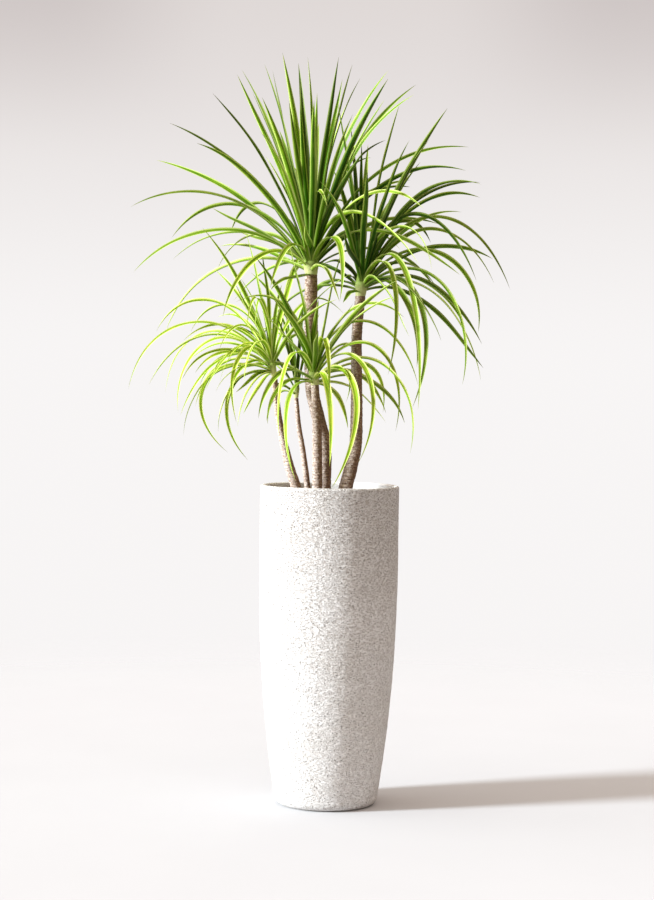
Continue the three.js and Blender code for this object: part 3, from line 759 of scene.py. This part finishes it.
def planter_profile():
    """[radius, height] from the foot's centre up the wall, over the lip and down inside."""
    heel_top = FOOT_HEIGHT + HEEL_HEIGHT
    heel_centre = wall_radius(heel_top) - HEEL_RADIUS
    lip_base = PLANTER_HEIGHT - LIP_ROUND
    lip_centre = PLANTER_RADIUS - WALL / 2
    fine_to = SOIL_TOP - FINE_BELOW_SOIL
    corners = [(HUB, 0), (FOOT_RADIUS, 0), (FOOT_RADIUS, FOOT_HEIGHT), (heel_centre, FOOT_HEIGHT)]
    foot = resample(corners, FOOT_STEP)
    turn = np.linspace(0, math.pi / 2, HEEL_ROWS + 1)[1:-1]
    heel = [(heel_centre + HEEL_RADIUS * math.sin(a), heel_top - HEEL_HEIGHT * math.cos(a)) for a in turn]
    heights = np.linspace(heel_top, lip_base, round((lip_base - heel_top) / WALL_STEP))
    wall = [(wall_radius(h), h) for h in heights]
    turn = np.linspace(0, math.pi, LIP_ROWS + 1)[1:]
    lip = [(lip_centre + WALL / 2 * math.cos(a), lip_base + LIP_ROUND * math.sin(a)) for a in turn]
    heights = [*np.linspace(lip_base, fine_to, INSIDE_ROWS + 1)[1:],
               *np.linspace(fine_to, FLOOR, HIDDEN_ROWS + 1)[1:]]
    inside = [(wall_radius(h) - WALL, h) for h in heights]
    return foot + heel + wall + lip + inside + [(FLOOR_RING, FLOOR), (HUB, FLOOR)]


def make_planter():
    profile = planter_profile()
    points, outward = lathe_points(profile, PLANTER_SIDES)
    height = points[:, 2]
    rough = np.clip((height - FOOT_HEIGHT) / SMOOTH_FOOT, 0, 1)
    middle = np.array([wall_radius(h) for h in height]) - WALL / 2
    inside = np.hypot(points[:, 0], points[:, 1]) < middle
    rough = np.where(inside, INSIDE_ROUGHNESS * rough, rough)
    rough = np.where(inside & (height < SOIL_TOP), 0, rough)
    relief = layered_noise(points, PLANTER_RELIEF, PLANTER_SEED) * rough
    points = points + outward * relief[:, None]
    points, faces = capped(points, len(profile), PLANTER_SIDES)
    rough_cast = np.concatenate([rough, [0, 0]])
    piece = mesh_object("planter_body", points, faces, cement_material(),
                        {"rough_cast": ("FLOAT", rough_cast)})
    stand_for(piece, "planter")


def crumb(rng, centre, size):
    """A small angular lump: a rough ball, stretched and turned at random."""
    corners = np.array([v for v in itertools.product((-1, 0, 1), repeat=3) if any(v)], float)
    corners /= np.linalg.norm(corners, axis=1)[:, None]
    corners *= rng.uniform(*CRUMB_CORNERS, (len(corners), 1))
    turn = np.array(Euler(rng.uniform(0, math.tau, 3)).to_matrix())
    stretch = rng.uniform(*CRUMB_STRETCH, 3) * CRUMB_FLATNESS
    return (corners * size * stretch) @ turn.T + centre


def hull_faces(points):
    """Triangles round a convex cloud of points."""
    cloud = bmesh.new()
    for p in points:
        cloud.verts.new(p)
    bmesh.ops.convex_hull(cloud, input=cloud.verts)
    cloud.verts.index_update()
    faces = [tuple(v.index for v in f.verts) for f in cloud.faces]
    cloud.free()
    return faces


def make_soil():
    """The soil up to just under its top in the CAD, lumpy there and strewn with crumbs."""
    inset = WALL + GAP
    rim = wall_radius(SOIL_TOP) - inset
    level = SOIL_TOP - SOIL_LOW
    edge = SOIL_TOP - SOIL_EDGE
    buried = [(wall_radius(h) - inset, h) for h in np.linspace(FLOOR + GAP, edge, SOIL_ROWS)]
    rings = np.linspace(rim, SOIL_HUB, round(rim / SOIL_STEP))
    profile = buried + [(r, level) for r in rings]
    points, _ = lathe_points(profile, SOIL_SIDES)
    lumps = layered_noise(points, SOIL_RELIEF, SOIL_SEED)
    points[:, 2] += np.where(points[:, 2] > edge, lumps, 0)
    points, faces = capped(points, len(profile), SOIL_SIDES)
    clouds = [points]
    count = len(points)
    rng = np.random.default_rng(CRUMB_SEED)
    for _ in range(CRUMBS):
        reach = (rim - CRUMB_MARGIN) * math.sqrt(rng.uniform(0, 1))
        angle = rng.uniform(0, math.tau)
        size = rng.uniform(*CRUMB_SIZES)
        centre = (reach * math.cos(angle), reach * math.sin(angle), level + CRUMB_RISE * size)
        lump = crumb(rng, centre, size)
        faces += [tuple(count + i for i in face) for face in hull_faces(lump)]
        clouds.append(lump)
        count += len(lump)
    piece = mesh_object("soil_bed", np.vstack(clouds), faces, soil_material())
    stand_for(piece, "soil")


# ---- Canes ----
def cane_at(rows, heights):
    """The cane's centre and radius at each height, on a smooth curve through its rows."""
    rows = np.array(rows, float)
    slopes = np.empty((len(rows), 3))
    for j in range(len(rows)):
        before, after = rows[max(0, j - 1)], rows[min(len(rows) - 1, j + 1)]
        slopes[j] = (after[1:] - before[1:]) / (after[0] - before[0])
    i = np.clip(np.searchsorted(rows[:, 0], heights) - 1, 0, len(rows) - 2)
    span = (rows[i + 1, 0] - rows[i, 0])[:, None]
    t = np.clip((heights - rows[i, 0])[:, None] / span, 0, 1)
    return ((2 * t**3 - 3 * t**2 + 1) * rows[i, 1:] + (t**3 - 2 * t**2 + t) * slopes[i] * span
            + (3 * t**2 - 2 * t**3) * rows[i + 1, 1:] + (t**3 - t**2) * slopes[i + 1] * span)


def make_cane(name, rows, seed, material):
    """A cane with wavy ring scars, a shelf of bark above each, and a rough skin."""
    rng = np.random.default_rng(seed)
    foot, top = rows[0][0], rows[-1][0]
    shown_from = SOIL_TOP - SHOWN_BELOW_SOIL
    shown_rows = round((top - shown_from) / CANE_STEP)
    heights = np.concatenate([np.linspace(foot, shown_from, BURIED_ROWS + 1)[:-1],
                              np.linspace(shown_from, top, shown_rows)])
    place = np.repeat(cane_at(rows, heights), CANE_SIDES, axis=0)
    level = np.repeat(heights, CANE_SIDES)
    around = np.tile(rays(CANE_SIDES), (len(heights), 1))
    at = around * NOISE_RADIUS + level[:, None] * (0, 0, 1)

    scars = [foot]
    while scars[-1] < top + SCARS_END:
        scars.append(scars[-1] + rng.uniform(*SCAR_SPACING))
    scars = np.array(scars)
    waved = level + layered_noise(at, SCAR_WAVES, seed)
    i = np.clip(np.searchsorted(scars, waved) - 1, 0, len(scars) - 2)
    phase = (waved - scars[i]) / (scars[i + 1] - scars[i])
    groove = np.exp(-((phase / GROOVE_ABOVE) ** 2)) + np.exp(-(((1 - phase) / GROOVE_BELOW) ** 2))
    strength = SCAR_STRENGTH + SCAR_PATCHINESS * smooth_noise(at / SCAR_PATCH, seed + 2)
    groove *= np.clip(strength, FAINTEST_SCAR, 1)

    relief = SHELF * (1 - phase) - SCAR_DEPTH * groove + layered_noise(at, BARK_RELIEF, seed + 3)
    relief *= np.minimum(1, place[:, 2] / FULL_RELIEF_FROM)
    relief = np.where(level > shown_from, relief, 0)
    points = around * (place[:, 2] + relief)[:, None]
    points[:, :2] += place[:, :2]
    points[:, 2] += level
    points, faces = capped(points, len(heights), CANE_SIDES)
    scar = np.concatenate([np.clip(groove, 0, 1), [0, 0]])
    # Painted light: the bark is painted pale on the side towards the key light, less so higher up, where
    # the leaves shade it.
    painted_lit_side = (0.5 - 0.5 * around @ SHADED_SIDE) * np.interp(level, *LIT_SIDE_BY_HEIGHT)
    painted_lit_side = np.concatenate([painted_lit_side, [0, 0]])
    piece = mesh_object(f"{name}_bark", points, faces, material,
                        {"scar": ("FLOAT", scar), "painted_lit_side": ("FLOAT", painted_lit_side)})
    stand_for(piece, name)


# ---- Leaves ----
def random_stream(seed):
    """The CAD's repeatable stream of numbers from 0 to 1: the Lehmer generator."""
    modulus = 2**31 - 1
    state = seed
    while True:
        state = state * 16807 % modulus
        yield state / modulus


def lerp(a, b, t):
    return a + (b - a) * t


def blade_shape(head, stream):
    """The way a leaf is rolled and how wide it is, drawn in the CAD's order."""
    root_share = next(stream)
    way = -1 if next(stream) < 0.5 else 1
    first_roll = way * lerp(*ROOT_ROLL, root_share)
    last_roll = way * lerp(*TIP_ROLL, next(stream))
    width = head["width"] * (1 + WIDTH_SPREAD * (2 * next(stream) - 1))
    return first_roll, last_roll, width, head["taper"]


def fill_row(number, head, stream):
    """A filling leaf's row, from its number: the youngest stand up and the oldest hang."""
    front = number % BACK_SHARE == BACK_SHARE - 1
    old = OLD_FRONT if front else OLD_BACK
    age = (number + 0.5) / head["fill"]
    across = (number * GOLDEN % 1) * 2 - 1
    heading = math.radians((270 if front else 90) + FAN * across)
    launch, end = lerp(YOUNG[0], old[0], age), lerp(YOUNG[1], old[1], age)
    length = head["length"] * (1 + LENGTH_SPREAD * (2 * next(stream) - 1))
    half_turn = math.radians(launch - end) / 2
    chord = length * math.sin(half_turn) / half_turn
    slope = math.radians(launch + end) / 2
    reach = chord * math.cos(slope)
    side, depth = reach * math.cos(heading), reach * math.sin(heading)
    return [side, depth, chord * math.sin(slope), launch, end, 0, 0]


def leaf_controls(row, head, core_radius, nudge):
    """The four control points of a leaf's centre line, and the level direction across it."""
    side, depth, rise, launch, end, bow, lift = row
    depth += nudge * NUDGE
    out = np.array([side, depth, 0.0]) / math.hypot(side, depth)
    crown = np.array(head["crown"], float)
    share = min(max(launch / 90, 0), 1) - ROOT_DROP
    root = crown + out * ROOT_SINK * core_radius + (0, 0, share * ROOT_SPREAD)
    tip = crown + (side, depth, rise)
    handle = 2 / 3 * math.dist(root, tip) / (1 + math.cos(math.radians(launch - end) / 2))
    push = np.array([bow, 0.0, lift])

    def slope(angle):
        angle = math.radians(angle)
        return out * math.cos(angle) + (0, 0, math.sin(angle))

    first = root + slope(launch) * handle + push
    second = tip - slope(end) * handle + push
    return (root, first, second, tip), np.array([-out[1], out[0], 0.0])


def grown_leaves(name, head):
    """Each leaf that the CAD has, as (controls, across, shape), read from where its tip is."""
    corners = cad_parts[name].data.vertices
    tree = KDTree(len(corners))
    for i, corner in enumerate(corners):
        tree.insert(corner.co / MM, i)
    tree.balance()
    stream = random_stream(head["seed"])
    core_radius = CANES[head["cane"]][-1][3]
    wanted = [(row, blade_shape(head, stream)) for row in LEAVES[name]]
    for number in range(head["fill"]):
        row = fill_row(number, head, stream)
        wanted.append((row, blade_shape(head, stream)))
    found = []
    for row, shape in wanted:
        for nudge in NUDGES:
            controls, across = leaf_controls(row, head, core_radius, nudge)
            if tree.find(controls[3])[2] < TIP_MATCH:
                found.append((controls, across, shape))
                break
    print(f"{name}: {len(found)} of {len(wanted)} leaves")
    return found


def rolled_line(controls, across, first_roll, last_roll):
    """Steps along a leaf, its centre there, and the directions across and out of its face."""
    root, first, second, tip = controls
    t = np.linspace(0, 1, LEAF_STEPS + 1)[:-1, None]
    s = 1 - t
    centre = s**3 * root + 3 * s**2 * t * first + 3 * s * t**2 * second + t**3 * tip
    ahead = 3 * (s**2 * (first - root) + 2 * s * t * (second - first) + t**2 * (tip - second))
    ahead /= np.linalg.norm(ahead, axis=1)[:, None]
    up = np.cross(ahead, across)
    up /= np.linalg.norm(up, axis=1)[:, None]
    level = np.cross(up, ahead)
    turning = lerp(first_roll, last_roll, t**ROLL_POWER)
    roll = np.radians(turning * lerp(FRONT_ROLL, 1, abs(across[1])))
    sideways = level * np.cos(roll) + up * np.sin(roll)
    above = up * np.cos(roll) - level * np.sin(roll)
    return t, centre, sideways, above


def blade(controls, across, shape, rng):
    """A leaf's points, faces and marks: a channelled strap, closed, thin at its edges."""
    tip = controls[3]
    first_roll, last_roll, width, taper = shape
    t, centre, sideways, above = rolled_line(controls, across, first_roll, last_roll)
    widening = np.sin(math.pi / 2 * np.minimum(t / WIDEST_AT, 1))
    half = width / 2 * lerp(ROOT_WIDTH, 1, widening) * (1 - t**taper)

    sway = rng.uniform(*SWAY)
    phase = rng.uniform(0, math.tau, 3)
    hold = np.sin(math.pi * t)
    centre = centre + above * hold * sway * np.sin(SWAY_RATES[0] * t + phase[0])
    centre = centre + sideways * hold * sway * np.sin(SWAY_RATES[1] * t + phase[1])

    opening = np.minimum(1, OPENING_RATE * t) ** OPENING_POWER
    fold = lerp(rng.uniform(*ROOT_FOLD), rng.uniform(*TIP_FOLD), opening)
    u = np.array(LEAF_ACROSS)[None, :]
    drop = -fold * half * (1 - np.abs(u) ** CHANNEL_POWER)
    ripple = RIPPLE * np.sin(RIPPLE_RATE * t + phase[2]) * u * hold
    top = np.stack([half * u * np.sqrt(1 - (fold / 2) ** 2), drop + ripple], axis=2)
    thick = LEAF_THICKNESS * np.minimum(1, half / THIN_BELOW) * (1 - u**2)
    under = top - np.stack([np.zeros_like(thick), thick], axis=2)
    outline = np.concatenate([top, under[:, -2:0:-1]], axis=1)
    points = (centre[:, None, :] + outline[..., :1] * sideways[:, None, :]
              + outline[..., 1:] * above[:, None, :])
    rows, sides = outline.shape[:2]

    length = np.linalg.norm(np.diff(centre, axis=0), axis=1).sum()
    tone = rng.uniform(0, 1)
    vein_place = rng.uniform(0, VEIN_PLACES)
    along = np.repeat(t, sides, axis=1)
    aside = np.repeat(np.concatenate([u, u[:, -2:0:-1]], axis=1), rows, axis=0)
    leaf = np.stack([along, (aside + 1) / 2, np.full_like(along, tone)], axis=2).reshape(-1, 3)
    grain = np.stack([aside * half, along * length, np.full_like(along, vein_place)], axis=2)
    points = np.vstack([points.reshape(-1, 3), tip])
    leaf = np.vstack([leaf, [1, 0.5, tone]])
    grain = np.vstack([grain.reshape(-1, 3), [0, length, vein_place]])
    faces = ring_faces(rows, sides)
    last = (rows - 1) * sides
    faces += [(last + k, last + (k + 1) % sides, rows * sides) for k in range(sides)]
    faces.append(tuple(range(sides))[::-1])
    return points, faces, leaf, grain


def neck(head):
    """The short stem under a crown, wrapped in old leaf bases."""
    height, x, y, radius = CANES[head["cane"]][-1]
    crown_x, crown_y, crown_height = head["crown"]
    foot, top = height + GAP, crown_height + CORE_RISE
    levels = np.linspace(foot, top, NECK_LEVELS)[:, None]
    share = (levels - foot) / (top - foot)
    bulge = np.interp(share, [0, 0.5, 1], [1, CORE_BULGE, CORE_TIP])
    lean = np.clip((levels - height) / (crown_height - height), 0, 1)
    angle = np.arange(NECK_SIDES) * 2 * math.pi / NECK_SIDES
    wrap = NECK_WRAPS * np.abs(np.sin(WRAP_RATES[0] * share + WRAP_RATES[1] * angle))
    wide = radius * bulge * (NECK_WIDTH + wrap)
    points = np.stack([lerp(x, crown_x, lean) + wide * np.cos(angle),
                       lerp(y, crown_y, lean) + wide * np.sin(angle),
                       np.repeat(levels, NECK_SIDES, axis=1)], axis=2).reshape(-1, 3)
    points, faces = capped(points, NECK_LEVELS, NECK_SIDES)
    sheath = np.append(np.repeat(share, NECK_SIDES), [0, 1])
    along = 0.03 - 0.5 * (1 - sheath) ** 2  # the leaf material turns cream below 0
    leaf = np.column_stack([along, np.tile(NECK_MARK, (len(along), 1))])
    return points, faces, leaf, points


def make_head(name, head, material):
    """A neck and its leaves as one piece, with what the leaf material needs at each point."""
    rng = np.random.default_rng(head["seed"])
    parts = [neck(head)]
    fresh = [np.full(len(parts[0][0]), head["fresh"])]
    for controls, across, shape in grown_leaves(name, head):
        part = blade(controls, across, shape, rng)
        parts.append(part)
        drop = controls[2] - controls[3]
        hanging = max(0.0, drop[2] / np.linalg.norm(drop))
        paler = head["fresh"] + HANGING_IS_PALER * hanging + rng.normal(0, FRESH_SPREAD)
        fresh.append(np.full(len(part[0]), np.clip(paler, 0, 1)))
    points, faces, leaf, grain = zip(*parts)
    starts = np.cumsum([0] + [len(p) for p in points])
    faces = [tuple(int(start) + i for i in face) for part, start in zip(faces, starts) for face in part]
    leaf = np.hstack([np.vstack(leaf), np.concatenate(fresh)[:, None]])
    piece = mesh_object(f"{name}_leaves", np.vstack(points), faces, material,
                        {"leaf": ("FLOAT_COLOR", leaf), "grain": ("FLOAT_VECTOR", np.vstack(grain))})
    piece.data.set_sharp_from_angle(angle=math.radians(SHARP_ANGLE))
    # These two keep the edge of its own shadow smooth over a blade's long faces.
    piece.cycles.shadow_terminator_geometry_offset = 1.0
    piece.cycles.shadow_terminator_offset = 0.1
    stand_for(piece, name)


# ---- Camera, floor and light. Metres and degrees ----
CAMERA_AT = (-0.008, -5.22, 1.043)
CAMERA_PITCH = -2.07  # it looks slightly down
CAMERA_ROLL = 0.8
FOCAL_PX = 2170  # focal length in pixels of the photo, whose long side has PICTURE_PX
PICTURE_PX = 900
SENSOR = 36  # millimetres
FLOOR_SIDES = 96
FLOOR_RADIUS = 3500  # millimetres
KEY_HEADING = -71  # from the front, to the left
KEY_HEIGHT = 27
KEY_STRENGTH = 6.0
KEY_SOFTNESS = 9
KEY_COLOUR = (0.87, 0.965, 1.04)

# The world as the camera sees it, and as it lights the plant.
BACKDROP_PALE = rgb(0.935, 0.915, 0.912)
BACKDROP_DIM = rgb(0.735, 0.685, 0.67)
CORNER_DIM = rgb(0.52, 0.465, 0.46)
LIGHT_FROM_BELOW = rgb(0.09, 0.072, 0.060)
LIGHT_FROM_ABOVE = rgb(1.42, 1.21, 1.07)
WINDOW_LIGHT = rgb(3.0, 3.0, 3.0)


def make_camera():
    lens = bpy.data.cameras.new("camera")
    lens.sensor_width = SENSOR
    lens.lens = FOCAL_PX / PICTURE_PX * SENSOR
    camera = bpy.data.objects.new("camera", lens)
    pitch = Matrix.Rotation(math.radians(90 + CAMERA_PITCH), 4, "X")
    roll = Matrix.Rotation(math.radians(CAMERA_ROLL), 4, "Z")
    camera.matrix_world = Matrix.Translation(CAMERA_AT) @ pitch @ roll
    bpy.context.scene.collection.objects.link(camera)
    bpy.context.scene.camera = camera


def make_floor():
    rim = rays(FLOOR_SIDES) * FLOOR_RADIUS
    floor = mesh_object("floor", rim, [tuple(range(FLOOR_SIDES))], floor_material())


def make_light():
    """A low soft key light from the window on the left."""
    sun = bpy.data.lights.new("key", "SUN")
    sun.energy = KEY_STRENGTH
    sun.angle = math.radians(KEY_SOFTNESS)
    sun.color = KEY_COLOUR
    key = bpy.data.objects.new("key", sun)
    heading, height = math.radians(KEY_HEADING), math.radians(KEY_HEIGHT)
    level = Vector((math.sin(heading), -math.cos(heading), 0))
    towards = level * math.cos(height) + Vector((0, 0, math.sin(height)))
    key.rotation_mode = "QUATERNION"
    key.rotation_quaternion = towards.to_track_quat("Z", "Y")
    bpy.context.scene.collection.objects.link(key)


def make_world():
    """Soft studio light, brighter from the left, and a backdrop that darkens upwards.

    Its upper corners are the darkest. Heights and distances aside are sines of the angle.
    """
    world = bpy.data.worlds.new("studio")
    bpy.context.scene.world = world
    s = Shader(world)
    towards = s.node("ShaderNodeTexCoord", output=WORLD_DIRECTION)
    parts = s.node("ShaderNodeSeparateXYZ", {0: towards}, output=None)
    across, height = parts.outputs[0], parts.outputs[2]
    seen = s.mix(s.ramp(height, 0.0, 0.19), BACKDROP_PALE, BACKDROP_DIM)
    corner = s.times(s.ramp(s.math("ABSOLUTE", across), 0.04, 0.13), s.ramp(height, 0.09, 0.19))
    seen = s.mix(s.times(corner, 0.6), seen, CORNER_DIM)
    backdrop = s.node("ShaderNodeBackground", {"Color": seen, "Strength": 1.0})
    glow = s.mix(s.ramp(height, 0.05, 1.0), LIGHT_FROM_BELOW, LIGHT_FROM_ABOVE)
    window = s.ramp(s.times(across, -1.0), 0.45, 1.0)
    glow = s.mix(window, glow, WINDOW_LIGHT)
    light = s.node("ShaderNodeBackground", {"Color": glow, "Strength": 1.0})
    camera_ray = s.node("ShaderNodeLightPath", output=0)
    mixed = s.node("ShaderNodeMixShader", {0: camera_ray, 1: light, 2: backdrop})
    s.node("ShaderNodeOutputWorld", {"Surface": mixed}, output=None)


make_camera()
make_floor()
make_light()
make_world()
bpy.context.scene.view_settings.view_transform = "Standard"

make_planter()
make_soil()
bark = bark_material()
for number, (name, rows) in enumerate(CANES.items()):
    make_cane(name, rows, CANE_SEEDS[0] + number * CANE_SEEDS[1], bark)
blade_green = leaf_material()
for name, head in HEADS.items():
    make_head(name, head, blade_green)
